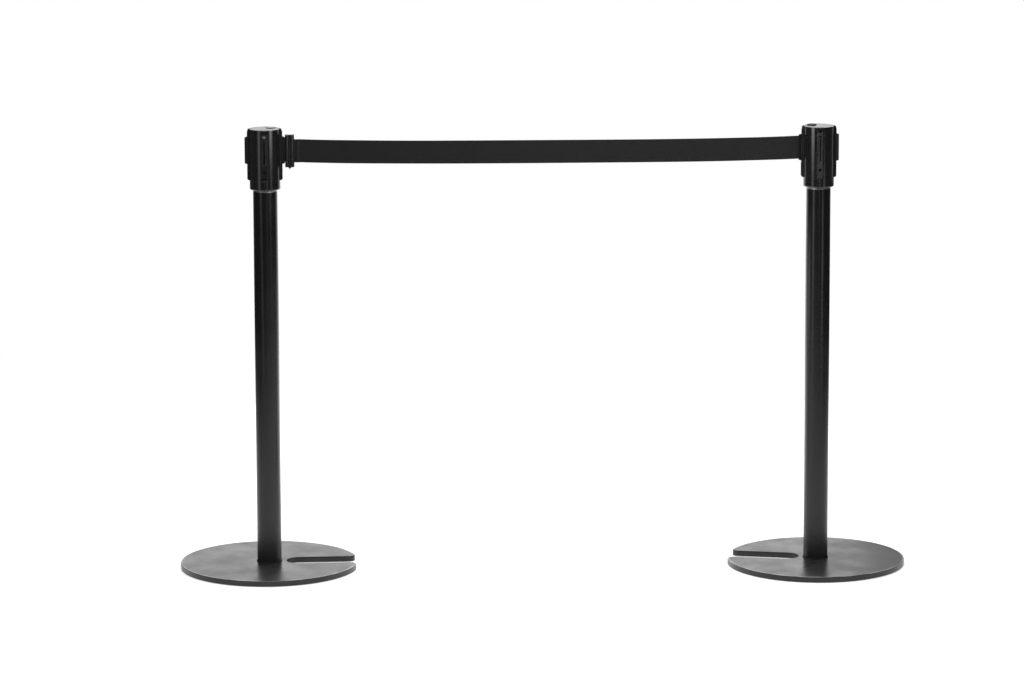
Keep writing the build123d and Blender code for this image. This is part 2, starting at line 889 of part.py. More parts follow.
def clip_shell(side):
    face = side * clip_thickness / 2
    pocket = pin_diameter / 2 + seat_fit + belt_thickness + loose_gap
    channel = 2 * belt_thickness + 2 * loose_gap
    with BuildPart() as shell:
        with BuildSketch(dock.level(clip_bottom)) as profile:
            with Locations((clip_waist, face / 2)):
                Rectangle(clip_length, clip_thickness / 2)
            fillet(profile.vertices().sort_by(Axis.Y, reverse=side < 0)[-2:], clip_corner_round)
            # Two upright ribs on the outer face
            for x in (clip_start + clip_rib_inset, clip_end - clip_rib_inset):
                with Locations((x, face)):
                    Circle(clip_rib_radius)
                fillet(profile.vertices().sort_by_distance((x, face, 0))[:2], clip_rib_root_round)
        extrude(amount=clip_height)
        for end in (shell.faces().sort_by(Axis.Z)[0], shell.faces().sort_by(Axis.Z)[-1]):
            fillet([edge for edge in end.edges() if abs(edge.center().Y) > seat_fit], clip_edge_round)
        # Pointed nub under the shell
        with BuildSketch(Plane(origin=(dock_x, 0, 0), x_dir=(1, 0, 0), z_dir=(0, -1, 0))):
            with BuildLine():
                Polyline(
                    (clip_waist - nub_width / 2, clip_bottom + clip_edge_round),
                    (clip_waist, clip_bottom - nub_height),
                    (clip_waist + nub_width / 2, clip_bottom + clip_edge_round),
                    close=True,
                )
            make_face()
        extrude(amount=-side * nub_thickness / 2)
        # Room for the belt's loop, the pin and the belt
        with BuildSketch(dock.level(clip_belt_z - belt_width / 2 - pin_end - loose_gap)):
            with Locations((pin_place, 0)):
                Circle(pocket)
        extrude(amount=belt_width + 2 * pin_end + 2 * loose_gap, mode=Mode.SUBTRACT)
        with BuildSketch(dock.level(clip_belt_z - belt_width / 2 - clip_channel_end_gap)):
            with Locations((pin_place, 0)):
                Rectangle(clip_length, channel, align=(Align.MIN, Align.CENTER))
        extrude(amount=belt_width + 2 * clip_channel_end_gap, mode=Mode.SUBTRACT)
        # Room for the tongue's neck and anchor
        with BuildSketch(dock.level(tongue_bottom - seat_fit)):
            tongue_profile(seat_fit)
        extrude(amount=tongue_height + 2 * seat_fit, mode=Mode.SUBTRACT)
        for z in clip_screw_heights():
            with Locations(clip_screw_plane(z, 0)):
                Cylinder(
                    clip_screw_diameter / 2 + seat_fit,
                    2 * (clip_screw_grip + loose_gap),
                    mode=Mode.SUBTRACT,
                )
            with Locations(clip_screw_plane(z, clip_screw_grip)):
                Cylinder(
                    clip_screw_head_diameter / 2 + seat_fit,
                    clip_thickness,
                    align=from_bottom,
                    mode=Mode.SUBTRACT,
                )
    return shell


# Plane across a clip screw, looking to the back, where its head is
def clip_screw_plane(z, y):
    return Plane(origin=(dock_x + clip_waist, y, z), x_dir=(1, 0, 0), z_dir=(0, 1, 0))


def clip_screw_heights():
    return [clip_belt_z - clip_screw_reach, clip_belt_z + clip_screw_reach]


# H-shaped section of the tongue: head in the receiver, neck in the slit, anchor in the shells
def tongue_profile(grow):
    head_out = strip_face + clip_gap + tongue_head_thickness
    anchor_in = clip_start + tongue_anchor_depth
    with Locations((head_out, 0)):
        Rectangle(
            tongue_head_thickness + grow,
            tongue_head_width + 2 * grow,
            align=(Align.MAX, Align.CENTER),
        )
    with Locations((head_out - tongue_head_thickness / 2, 0)):
        Rectangle(
            anchor_in - head_out + tongue_head_thickness,
            tongue_neck + 2 * grow,
            align=(Align.MIN, Align.CENTER),
        )
    with Locations((anchor_in - grow, 0)):
        Rectangle(
            tongue_anchor_thickness + 2 * grow,
            tongue_anchor_width + 2 * grow,
            align=(Align.MIN, Align.CENTER),
        )


def clip_tongue():
    with BuildPart() as tongue:
        with BuildSketch(dock.level(tongue_bottom)):
            tongue_profile(0)
        extrude(amount=tongue_height)
        # The neck runs on down the receiver's groove as a thin foot
        with BuildSketch(dock.level(slit_bottom + loose_gap)):
            with Locations((block_face - tongue_foot_depth, 0)):
                Rectangle(tongue_foot_depth + clip_gap, tongue_neck, align=(Align.MIN, Align.CENTER))
        extrude(amount=tongue_bottom - slit_bottom - loose_gap)
    return tongue


def clip_pin():
    with BuildPart() as pin:
        with BuildSketch(dock.level(clip_belt_z - belt_width / 2 - pin_end)):
            with Locations((pin_place, 0)):
                Circle(pin_diameter / 2)
        extrude(amount=belt_width + 2 * pin_end)
    return pin


def clip_screws():
    with BuildPart() as screws:
        for z in clip_screw_heights():
            with Locations(clip_screw_plane(z, clip_screw_grip)):
                Cylinder(clip_screw_head_diameter / 2, clip_screw_head_height, align=from_bottom)
                Cylinder(clip_screw_diameter / 2, 2 * clip_screw_grip, align=from_top)
            with Locations(clip_screw_plane(z, clip_screw_grip + clip_screw_head_height)):
                Box(
                    clip_screw_head_diameter,
                    clip_screw_slot_width,
                    clip_screw_slot_depth,
                    align=from_top,
                    mode=Mode.SUBTRACT,
                )
    return screws


for pole in (feed, dock):
    save(base_plate(pole), f"{pole.name}_base_plate")
    save(base_mat(pole), f"{pole.name}_base_mat")
    save(base_washer(pole), f"{pole.name}_base_washer")
    save(base_bolt(pole), f"{pole.name}_base_bolt")
    save(foot_gasket(pole), f"{pole.name}_foot_gasket")
    save(tube(pole), f"{pole.name}_tube")
    save(tube_foot(pole), f"{pole.name}_tube_foot")
    save(neck_plug(pole), f"{pole.name}_neck_plug")
    save(neck_ring(pole), f"{pole.name}_neck_ring")
    save(neck_screws(pole), f"{pole.name}_neck_screws")
    save(head_body(pole), f"{pole.name}_head_body")
    save(exit_plate(pole), f"{pole.name}_exit_plate")
    for number, turn in enumerate(pole.receiver_turns(), 1):
        save(receiver(pole, turn), f"{pole.name}_receiver_{number}")
    save(plate_screws(pole), f"{pole.name}_plate_screws")
    save(top_cap(pole), f"{pole.name}_top_cap")
    save(cap_plug(pole), f"{pole.name}_cap_plug")

save(spool_shaft(), "spool_shaft")
save(shaft_clip(), "shaft_clip")
save(bearing_plate(), "bearing_plate")
save(bush(cover_bottom, True, spring_cover_thickness), "lower_bush")
save(bush(drum_top, False, bush_length), "upper_bush")
save(spool_drum(), "spool_drum")
save(spring_cover(), "spring_cover")
save(clock_spring(), "clock_spring")
save(wound_belt(), "wound_belt")

save(belt_web(), "belt_web")
save(belt_tail(), "belt_tail")
save(clip_shell(-1), "clip_front_shell")
save(clip_shell(1), "clip_back_shell")
save(clip_tongue(), "clip_tongue")
save(clip_pin(), "clip_pin")
save(clip_screws(), "clip_screws")

print(f"belt out {belt_out:.1f} mm, on the drum {belt_stored:.1f} mm, roll radius {roll_radius:.2f} mm")
print(f"belt drawn for each radian of the drum: {drum_pull_radius:.3f} mm")
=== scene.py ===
import bpy
import json
import math
from mathutils import Matrix, Vector


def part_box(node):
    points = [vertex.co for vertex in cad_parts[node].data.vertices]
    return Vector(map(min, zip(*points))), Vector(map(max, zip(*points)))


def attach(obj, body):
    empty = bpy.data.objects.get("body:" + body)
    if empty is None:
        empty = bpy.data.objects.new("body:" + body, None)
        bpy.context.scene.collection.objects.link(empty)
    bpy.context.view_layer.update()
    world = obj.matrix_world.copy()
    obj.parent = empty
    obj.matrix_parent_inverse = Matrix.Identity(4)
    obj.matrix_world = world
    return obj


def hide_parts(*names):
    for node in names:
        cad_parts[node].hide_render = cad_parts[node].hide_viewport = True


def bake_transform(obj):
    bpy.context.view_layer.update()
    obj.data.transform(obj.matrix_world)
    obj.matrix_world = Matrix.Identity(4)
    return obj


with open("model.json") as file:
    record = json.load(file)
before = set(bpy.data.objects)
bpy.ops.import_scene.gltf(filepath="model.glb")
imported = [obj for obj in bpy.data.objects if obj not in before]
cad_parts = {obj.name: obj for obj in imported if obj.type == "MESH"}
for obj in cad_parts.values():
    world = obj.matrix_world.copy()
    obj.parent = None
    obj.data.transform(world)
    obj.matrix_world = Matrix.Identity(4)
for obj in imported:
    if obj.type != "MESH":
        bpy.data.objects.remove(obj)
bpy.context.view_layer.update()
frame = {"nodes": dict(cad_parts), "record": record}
print("frame loaded:", len(frame["nodes"]), "nodes")

# The feed pole stands at feedX and the dock pole at -feedX; the belt comes out at exitX and exitZ
rollLow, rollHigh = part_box("wound_belt")
bodyLow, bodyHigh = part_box("feed_head_body")
beltWidth = rollHigh[2] - rollLow[2]
feedX = (rollLow[0] + rollHigh[0]) / 2
bodyRadius = (bodyHigh[0] - bodyLow[0]) / 2
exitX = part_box("feed_exit_plate")[0][0]
exitZ = (rollLow[2] + rollHigh[2]) / 2
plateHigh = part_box("feed_base_plate")[1]


# Small helpers

def deselectAll():
    if bpy.context.object and bpy.context.object.mode != "OBJECT":
        bpy.ops.object.mode_set(mode="OBJECT")
    bpy.ops.object.select_all(action="DESELECT")


def addNode(tree, kind, inputs=None, **settings):
    made = tree.nodes.new(kind)
    for key, value in settings.items():
        setattr(made, key, value)
    for key, value in (inputs or {}).items():
        made.inputs[key].default_value = value
    return made


def mathNode(tree, operation, first, second=None, clamp=False):
    made = addNode(tree, "ShaderNodeMath", operation=operation, use_clamp=clamp)
    for socket, value in zip(made.inputs, (first, second)):
        if value is None:
            continue
        if isinstance(value, (int, float)):
            socket.default_value = value
        else:
            tree.links.new(value, socket)
    return made.outputs[0]


# Adds an amount to a value where the share is 1, and less where it is less
def addShare(tree, value, share, amount):
    return mathNode(tree, "ADD", value, mathNode(tree, "MULTIPLY", share, amount))


def rangeNode(tree, value, fromLow, fromHigh, toLow, toHigh):
    made = addNode(tree, "ShaderNodeMapRange", {
        "From Min": fromLow, "From Max": fromHigh, "To Min": toLow, "To Max": toHigh})
    tree.links.new(value, made.inputs["Value"])
    return made.outputs["Result"]


# A share that rises from 0 to 1 between two values, and one that falls from 1 to 0
def rising(tree, value, low, high):
    return rangeNode(tree, value, low, high, 0.0, 1.0)


def falling(tree, value, low, high):
    return rangeNode(tree, value, low, high, 1.0, 0.0)


def blendColours(tree, share, first, second):
    made = addNode(tree, "ShaderNodeMix", data_type="RGBA")
    made.inputs["A"].default_value = (*first, 1)
    made.inputs["B"].default_value = (*second, 1)
    tree.links.new(share, made.inputs["Factor"])
    return made.outputs["Result"]


# Lays an even grey over a colour by a share
def coverColour(tree, share, colour, grey):
    made = addNode(tree, "ShaderNodeMix", data_type="RGBA")
    made.inputs["B"].default_value = (grey, grey, grey, 1)
    tree.links.new(share, made.inputs["Factor"])
    tree.links.new(colour, made.inputs["A"])
    return made.outputs["Result"]


def noiseNode(tree, coords, size, detail=2.0, stretch=(1, 1, 1)):
    spread = addNode(tree, "ShaderNodeMapping", {"Scale": stretch})
    tree.links.new(coords, spread.inputs["Vector"])
    made = addNode(tree, "ShaderNodeTexNoise", {"Scale": 1 / size, "Detail": detail, "Roughness": 0.6})
    tree.links.new(spread.outputs["Vector"], made.inputs["Vector"])
    return made.outputs["Fac"]


def objectCoords(tree):
    return addNode(tree, "ShaderNodeTexCoord").outputs["Object"]


def splitCoords(tree, coords):
    made = addNode(tree, "ShaderNodeSeparateXYZ")
    tree.links.new(coords, made.inputs[0])
    return made.outputs


def startMaterial(name):
    material = bpy.data.materials.new(name)
    material.use_nodes = True
    tree = material.node_tree
    return material, tree, tree.nodes["Principled BSDF"]


# Bumps the normal of a shader, or of another bump that goes on top
def bumpTo(tree, target, height, depth):
    made = addNode(tree, "ShaderNodeBump", {"Strength": 1.0, "Distance": depth})
    tree.links.new(height, made.inputs["Height"])
    tree.links.new(made.outputs["Normal"], target.inputs["Normal"])
    return made


# Materials

# Powder coat, moulded plastic and rubber: cloudy tone and gloss, fine grain, rubbed edges, rub marks, painted
# light on rims, recesses and rib valleys.
# cloud, grain, edge and scuffs are lengths; rubs, recess and valley add to rough and recess and valley paint
# shade; worn is a grey, rim a painted highlight's grey
coatLooks = {
    "base_paint": {
        "dark": (0.018, 0.018, 0.0185), "light": (0.032, 0.032, 0.0325), "rough": (0.25, 0.40),
        "specular": 0.5, "cloud": 0.07, "grain": 0.0011, "depth": 0.00003, "wave": 0.00025,
        "rubs": 0.05, "edge": 0.0020, "worn": 0.07, "rim": 0.30},
    "tube_paint": {
        "dark": (0.0050, 0.0050, 0.0052), "light": (0.0080, 0.0080, 0.0082), "rough": (0.20, 0.28),
        "specular": 0.41, "cloud": 0.12, "grain": 0.0009, "depth": 0.00002, "rubs": 0.06, "scuffs": 0.11},
    "head_plastic": {
        "dark": (0.0085, 0.0085, 0.0087), "light": (0.0115, 0.0115, 0.0118), "rough": (0.14, 0.17),
        "specular": 0.5, "cloud": 0.06, "grain": 0.0006, "depth": 0.00001,
        "rubs": 0.05, "edge": 0.0010, "worn": 0.03},
    "strip_plastic": {
        "dark": (0.010, 0.010, 0.0102), "light": (0.014, 0.014, 0.0143), "rough": (0.14, 0.19),
        "specular": 0.5, "cloud": 0.04, "grain": 0.0005, "depth": 0.00001,
        "rubs": 0.06, "edge": 0.0007, "worn": 0.05, "recess": 0.40},
    "clip_plastic": {
        "dark": (0.008, 0.008, 0.0083), "light": (0.011, 0.011, 0.0113), "rough": (0.14, 0.20),
        "specular": 0.5, "cloud": 0.03, "grain": 0.0005, "depth": 0.00001,
        "rubs": 0.05, "edge": 0.0007, "worn": 0.05, "valley": 0.40},
    "floor_rubber": {
        "dark": (0.008, 0.008, 0.008), "light": (0.016, 0.016, 0.016), "rough": (0.62, 0.80),
        "specular": 0.3, "cloud": 0.02, "grain": 0.0007, "depth": 0.00006},
    "drum_plastic": {
        "dark": (0.52, 0.52, 0.50), "light": (0.62, 0.62, 0.60), "rough": (0.34, 0.46),
        "specular": 0.5, "cloud": 0.03, "grain": 0.0006, "depth": 0.00003},
    "bush_plastic": {
        "dark": (0.68, 0.67, 0.62), "light": (0.76, 0.75, 0.71), "rough": (0.30, 0.40),
        "specular": 0.5, "cloud": 0.02, "grain": 0.0005, "depth": 0.00002},
}

# Shaded copies of the head and strip mouldings: the lids, and the strips that face along the belt, get a
# lower specular level, which paints them darker as shade
coatLooks["lid_plastic_shaded"] = {**coatLooks["head_plastic"], "specular": 0.11}
coatLooks["side_plastic_shaded"] = {**coatLooks["strip_plastic"], "specular": 0.25}
shadedDullNodes = {
    "feed_top_cap": "lid_plastic_shaded", "dock_top_cap": "lid_plastic_shaded", "dock_cap_plug": "lid_plastic_shaded",
    "feed_exit_plate": "side_plastic_shaded", "feed_receiver_2": "side_plastic_shaded",
    "dock_receiver_1": "side_plastic_shaded", "dock_receiver_3": "side_plastic_shaded",
}

# What all coats share: how much of the tone is cloud and grain, and the thin rub marks that lie mostly level
coatMix = {"cloud": 0.8, "grain": 0.2, "tone": (0.35, 0.65)}
rubLook = {"size": 0.05, "detail": 3.0, "stretch": (1.0, 1.0, 26.0), "tone": (0.66, 0.72)}


# Breaks a mark up into patches, from its least share to 1
def patches(tree, coords, look):
    spots = noiseNode(tree, coords, look["patch"], look["detail"], look["stretch"])
    return rangeNode(tree, spots, *look["tone"], look["least"], 1.0)


# How far out from the nearer pole's middle, along X
def fromPole(tree, x):
    return mathNode(tree, "SUBTRACT", mathNode(tree, "ABSOLUTE", x), feedX)


# Wear: 1 on sharp outer edges, where the rounded normal leaves the plain one, and 0 on flat faces
wearLook = {"samples": 4, "alike": (0.80, 0.97),
            "patch": 0.012, "detail": 4.0, "stretch": (1, 1, 1), "tone": (0.42, 0.60), "least": 0.0}


def edgeWear(tree, coords, radius):
    rounded = addNode(tree, "ShaderNodeBevel", {"Radius": radius}, samples=wearLook["samples"])
    plain = addNode(tree, "ShaderNodeNewGeometry")
    alike = addNode(tree, "ShaderNodeVectorMath", operation="DOT_PRODUCT")
    tree.links.new(rounded.outputs["Normal"], alike.inputs[0])
    tree.links.new(plain.outputs["Normal"], alike.inputs[1])
    edge = falling(tree, alike.outputs["Value"], *wearLook["alike"])
    return mathNode(tree, "MULTIPLY", edge, patches(tree, coords, wearLook))


# Base plates: a painted highlight along the top rim, broken into patches, and painted shade on the side below
# it
rimHighlightAndShadeLook = {"drop": 0.0004, "inset": 0.0035, "soft": 0.0003, "side": 0.006,
           "patch": 0.03, "detail": 3.0, "stretch": (1, 1, 1), "tone": (0.38, 0.58), "least": 0.2}


def plateRimHighlightAndShade(tree, coords):
    parts = splitCoords(tree, coords)
    offX = fromPole(tree, parts["X"])
    squares = mathNode(tree, "ADD", mathNode(tree, "MULTIPLY", offX, offX),
                       mathNode(tree, "MULTIPLY", parts["Y"], parts["Y"]))
    start = plateHigh[0] - feedX - rimHighlightAndShadeLook["inset"]
    outer = rising(tree, mathNode(tree, "SQRT", squares), start - rimHighlightAndShadeLook["soft"], start)
    foot = plateHigh[2] - rimHighlightAndShadeLook["drop"]
    side = falling(tree, parts["Z"], foot - rimHighlightAndShadeLook["soft"], foot)
    line = mathNode(tree, "SUBTRACT", outer, side, clamp=True)
    return mathNode(tree, "MULTIPLY", line, patches(tree, coords, rimHighlightAndShadeLook)), side


# Painted shade and a matt finish: 1 deep in a strip's window or slit and in the belt's mouth, 0 on the outer
# faces; the colour there is painted near-black as shade
recessShadeLook = {"window": (0.001, 0.003), "slitHalf": 0.0019, "slitDeep": 0.0008, "slitReach": 0.0262,
              "slitRise": 0.002, "mouth": 0.0050, "soft": 0.0003, "colour": 0.003}


def stripRecessShade(tree, coords):
    parts = splitCoords(tree, coords)
    soft = recessShadeLook["soft"]
    # each strip faces along X or Y from its pole
    offX = mathNode(tree, "ABSOLUTE", fromPole(tree, parts["X"]))
    offY = mathNode(tree, "ABSOLUTE", parts["Y"])
    reach = mathNode(tree, "MAXIMUM", offX, offY)
    aside = mathNode(tree, "MINIMUM", offX, offY)
    rise = mathNode(tree, "SUBTRACT", parts["Z"], exitZ + recessShadeLook["slitRise"])
    level = mathNode(tree, "ABSOLUTE", rise)
    windowBack, windowFront = recessShadeLook["window"]
    window = falling(tree, reach, bodyRadius + windowBack, bodyRadius + windowFront)
    deep = feedX - exitX - recessShadeLook["slitDeep"]
    inSlit = falling(tree, aside, recessShadeLook["slitHalf"] - soft, recessShadeLook["slitHalf"])
    below = falling(tree, reach, deep - soft, deep)
    within = falling(tree, level, recessShadeLook["slitReach"] - soft, recessShadeLook["slitReach"])
    slit = mathNode(tree, "MULTIPLY", mathNode(tree, "MULTIPLY", inSlit, below), within)
    # the mouth that the belt comes out of, on the side that faces the other pole, painted dark as a shadow
    # gap
    mouthEnd = exitX + recessShadeLook["mouth"]
    mouth = mathNode(tree, "SUBTRACT", falling(tree, parts["X"], mouthEnd - soft, mouthEnd),
                     mathNode(tree, "LESS_THAN", parts["X"], 0.0))
    return mathNode(tree, "MAXIMUM", mathNode(tree, "MAXIMUM", window, slit), mouth)


# Painted shade and a matt finish: 1 on the belt end's flat faces between the ribs, 0 on its ribs, by how far
# they stand off the belt's plane; the flats are painted darker as shade
valleyShadeLook = {"off": (0.0043, 0.0055), "colour": 0.004}


def clipValleyShade(tree, coords):
    off = mathNode(tree, "ABSOLUTE", splitCoords(tree, coords)["Y"])
    return falling(tree, off, *valleyShadeLook["off"])


# Scuffs: most at the floor, none above the given height
scuffLook = {"floor": 0.012, "rough": 0.28, "colour": 0.015,
             "patch": 0.02, "detail": 4.0, "stretch": (1.0, 1.0, 3.0), "tone": (0.30, 0.60), "least": 0.5}


def footScuffs(tree, coords, height):
    low = falling(tree, splitCoords(tree, coords)["Z"], scuffLook["floor"], height)
    return mathNode(tree, "MULTIPLY", low, patches(tree, coords, scuffLook))


def coatMaterial(name, look):
    material, tree, shader = startMaterial(name)
    coords = objectCoords(tree)
    cloud = noiseNode(tree, coords, look["cloud"], detail=4.0)
    grain = noiseNode(tree, coords, look["grain"])
    tone = addShare(tree, mathNode(tree, "MULTIPLY", cloud, coatMix["cloud"]), grain, coatMix["grain"])
    colour = blendColours(tree, rising(tree, tone, *coatMix["tone"]), look["dark"], look["light"])
    rough = rangeNode(tree, tone, *coatMix["tone"], *look["rough"])
    if "rubs" in look:
        lines = noiseNode(tree, coords, rubLook["size"], rubLook["detail"], rubLook["stretch"])
        rough = mathNode(tree, "ADD", rough, rangeNode(tree, lines, *rubLook["tone"], 0.0, look["rubs"]))
    if "scuffs" in look:
        scuffs = footScuffs(tree, coords, look["scuffs"])
        rough = addShare(tree, rough, scuffs, scuffLook["rough"])
        colour = coverColour(tree, scuffs, colour, scuffLook["colour"])
    if "edge" in look:
        colour = coverColour(tree, edgeWear(tree, coords, look["edge"]), colour, look["worn"])
    # painted highlight along the plate's top rim, and painted shade on its side
    if "rim" in look:
        rim, side = plateRimHighlightAndShade(tree, coords)
        colour = coverColour(tree, rim, colour, look["rim"])
        colour = coverColour(tree, side, colour, rimHighlightAndShadeLook["side"])
    # painted shade: deep in windows, slits and the belt's mouth the colour goes near-black, and the finish
    # turns matt
    if "recess" in look:
        recess = stripRecessShade(tree, coords)
        rough = addShare(tree, rough, recess, look["recess"])
        colour = coverColour(tree, recess, colour, recessShadeLook["colour"])
    # painted shade: the flats between the belt end's ribs are darker, and matt
    if "valley" in look:
        valley = clipValleyShade(tree, coords)
        rough = addShare(tree, rough, valley, look["valley"])
        colour = coverColour(tree, valley, colour, valleyShadeLook["colour"])
    tree.links.new(colour, shader.inputs["Base Color"])
    tree.links.new(rough, shader.inputs["Roughness"])
    shader.inputs["Specular IOR Level"].default_value = look["specular"]
    fine = bumpTo(tree, shader, grain, look["depth"])
    if "wave" in look:
        bumpTo(tree, fine, cloud, look["wave"])  # slow waves in a sprayed coat
    return material


# Bare and plated metal: fine turned or rolled lines
metalLooks = {
    "neck_metal": {
        "dark": (0.20, 0.20, 0.205), "light": (0.30, 0.30, 0.305), "rough": (0.32, 0.44),
        "line": 0.0004, "stretch": (0.02, 0.02, 1.0)},
    "plated_steel": {
        "dark": (0.46, 0.46, 0.47), "light": (0.62, 0.62, 0.63), "rough": (0.24, 0.36),
        "line": 0.0008, "stretch": (0.3, 0.3, 1.0)},
    "dark_screws": {
        "dark": (0.010, 0.010, 0.0103), "light": (0.030, 0.030, 0.0305), "rough": (0.36, 0.50),
        "line": 0.0007, "stretch": (1.0, 1.0, 1.0), "bright": (0.0112, 0.0170), "plating": 0.50},
    "spring_steel": {
        "dark": (0.24, 0.25, 0.28), "light": (0.38, 0.39, 0.41), "rough": (0.22, 0.32),
        "line": 0.0006, "stretch": (0.05, 0.05, 1.0)},
}
metalMix = {"tone": (0.3, 0.7), "depth": 0.00001}


# 1 between two depths below the heads' tops: the exit strips' upper screws are plated, the others are black
def depthBand(tree, coords, band):
    depth = mathNode(tree, "SUBTRACT", bodyHigh[2], splitCoords(tree, coords)["Z"])
    return mathNode(tree, "MULTIPLY", mathNode(tree, "GREATER_THAN", depth, band[0]),
                    mathNode(tree, "LESS_THAN", depth, band[1]))


def metalMaterial(name, look):
    material, tree, shader = startMaterial(name)
    coords = objectCoords(tree)
    lines = noiseNode(tree, coords, look["line"], stretch=look["stretch"])
    colour = blendColours(tree, rising(tree, lines, *metalMix["tone"]), look["dark"], look["light"])
    if "bright" in look:
        colour = coverColour(tree, depthBand(tree, coords, look["bright"]), colour, look["plating"])
    tree.links.new(colour, shader.inputs["Base Color"])
    tree.links.new(rangeNode(tree, lines, *metalMix["tone"], *look["rough"]), shader.inputs["Roughness"])
    shader.inputs["Metallic"].default_value = 1.0
    bumpTo(tree, shader, lines, metalMix["depth"])
    return material


# Woven belt: yarns cross over and under in a plain weave, with a firm selvedge along both edges
weaveLook = {
    "dark": (0.008, 0.008, 0.0084),
    "light": (0.0245, 0.0245, 0.025),
    "tone": (0.25, 0.85),
    "rough": (0.60, 0.82),
    "specular": 0.25,
    "sheen": 0.05,
    "alongPitch": 0.0011,
    "acrossPitch": 0.0009,
    "crossing": 0.35,
    "depth": 0.00022,
    "yarnTone": 0.6,
    "selvedge": 0.0016,
    "selvedgeSoft": 0.0002,
    "selvedgeRise": 0.5,
    "fuzz": 0.012,
    "fuzzStretch": (0.4, 1.6, 1.0),
    "fuzzRange": (0.3, 0.7),
    "fuzzTone": 0.5,
    "fade": (-0.20, 0.28),
    "fadeLength": 0.9,
}


def weaveMaterial(name, look, width):
    material, tree, shader = startMaterial(name)
    cloth = addNode(tree, "ShaderNodeUVMap", uv_map="beltMap").outputs["UV"]
    parts = splitCoords(tree, cloth)
    along = mathNode(tree, "MULTIPLY", parts["X"], math.pi / look["alongPitch"])
    across = mathNode(tree, "MULTIPLY", parts["Y"], math.pi / look["acrossPitch"])
    sinAlong = mathNode(tree, "SINE", along)
    sinAcross = mathNode(tree, "SINE", across)
    over = rising(tree, mathNode(tree, "MULTIPLY", sinAlong, sinAcross), -look["crossing"], look["crossing"])
    warp = mathNode(tree, "ABSOLUTE", sinAcross)
    weft = mathNode(tree, "ABSOLUTE", sinAlong)
    upper = mathNode(tree, "MULTIPLY", warp, over)
    lower = mathNode(tree, "MULTIPLY", weft, mathNode(tree, "SUBTRACT", 1.0, over))
    edge = width / 2 - look["selvedge"]
    selvedge = rangeNode(tree, mathNode(tree, "ABSOLUTE", parts["Y"]), edge, edge + look["selvedgeSoft"],
                         0.0, look["selvedgeRise"])
    height = mathNode(tree, "ADD", mathNode(tree, "ADD", upper, lower), selvedge)
    fuzz = noiseNode(tree, cloth, look["fuzz"], detail=3.0, stretch=look["fuzzStretch"])
    tone = addShare(tree, mathNode(tree, "MULTIPLY", height, look["yarnTone"]), fuzz, look["fuzzTone"])
    # the belt is a little paler towards the drum
    tone = mathNode(tree, "ADD", tone, rangeNode(tree, parts["X"], 0.0, look["fadeLength"], *look["fade"]))
    colour = blendColours(tree, rising(tree, tone, *look["tone"]), look["dark"], look["light"])
    tree.links.new(colour, shader.inputs["Base Color"])
    tree.links.new(rangeNode(tree, fuzz, *look["fuzzRange"], *look["rough"]), shader.inputs["Roughness"])
    shader.inputs["Specular IOR Level"].default_value = look["specular"]
    shader.inputs["Sheen Weight"].default_value = look["sheen"]
    bumpTo(tree, shader, height, look["depth"])
    return material


finishes = {name: coatMaterial(name, look) for name, look in coatLooks.items()}
finishes.update({name: metalMaterial(name, look) for name, look in metalLooks.items()})
finishes["belt_fabric"] = weaveMaterial("belt_fabric", weaveLook, beltWidth)

for entry in frame["record"]["subparts"]:
    mesh = frame["nodes"][entry["node"]].data
    mesh.materials.clear()
    mesh.materials.append(finishes[shadedDullNodes.get(entry["node"], entry["material_slot"])])


# Belt

# The long stretch runs from the drum, out of the exit slit, to a seam near the belt end
beltLook = {
    "thickness": 0.0006,
    "sag": 0.0052,
    "ease": 1.1,
    "bendRadius": 0.004,
    "bendSteps": 10,
    "rollGap": 0.0006,
    "headWall": 0.0045,
    "sewnLength": 0.014,
    "joinLength": 0.012,
    "layerGap": 0.00004,
    "pinGap": 0.0001,
    "loopNeck": 0.0012,
    "loopOpen": 63,  # degrees to each side
    "loopSteps": 26,
    "step": 0.0022,
    "rows": 16,
    "smooth": 40,  # degrees
}

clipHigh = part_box("clip_front_shell")[1]
pinLow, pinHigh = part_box("clip_pin")

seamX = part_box("belt_tail")[1][0]
pinX = (pinLow[0] + pinHigh[0]) / 2
sewnX = clipHigh[0] + beltLook["sewnLength"]
clipZ = (pinLow[2] + pinHigh[2]) / 2


# Place along the free belt, 0 where it is sewn and 1 at the exit,
# eased so that it stays a smooth arc as it winds in
def alongBelt(x):
    share = min(max((x - sewnX) / (exitX - sewnX), 0.0), 1.0)
    return share + beltLook["ease"] * share * (1 - share) * (1 - 2 * share)


# Height of the belt's middle: a shallow arc below the straight line from clip to exit
def hangZ(x):
    share = alongBelt(x)
    return clipZ + (exitZ - clipZ) * share - 4 * beltLook["sag"] * share * (1 - share)


# Slight ripple out of the belt's plane, none where it is held: a slow wave, a quick one that leans, and a cup
rippleLook = {"height": 0.0011, "slow": 9.0, "slowStart": 0.6,
              "quick": 23.0, "quickStart": 2.1, "quickShare": 0.5, "lean": 2.4,
              "cup": 0.0006, "cupLevel": 0.3, "holdRise": 6}


def rippleY(x, across):
    look = rippleLook
    share = alongBelt(x)
    hold = min(1.0, look["holdRise"] * share, look["holdRise"] * (1 - share))
    slow = math.sin(look["slow"] * share + look["slowStart"])
    quick = math.sin(look["quick"] * share + look["quickStart"] + look["lean"] * across)
    cup = look["cup"] * (4 * across * across - look["cupLevel"])
    return hold * (look["height"] * (slow + look["quickShare"] * quick) + cup)


def straight(start, end):
    count = max(1, round((end - start).length / beltLook["step"]))
    return [start.lerp(end, i / count) for i in range(1, count + 1)]


def arcPoints(centre, radius, fromTurn, toTurn, count):
    turns = [fromTurn + (toTurn - fromTurn) * i / count for i in range(1, count + 1)]
    return [centre + Vector((math.cos(turn), math.sin(turn))) * radius for turn in turns]


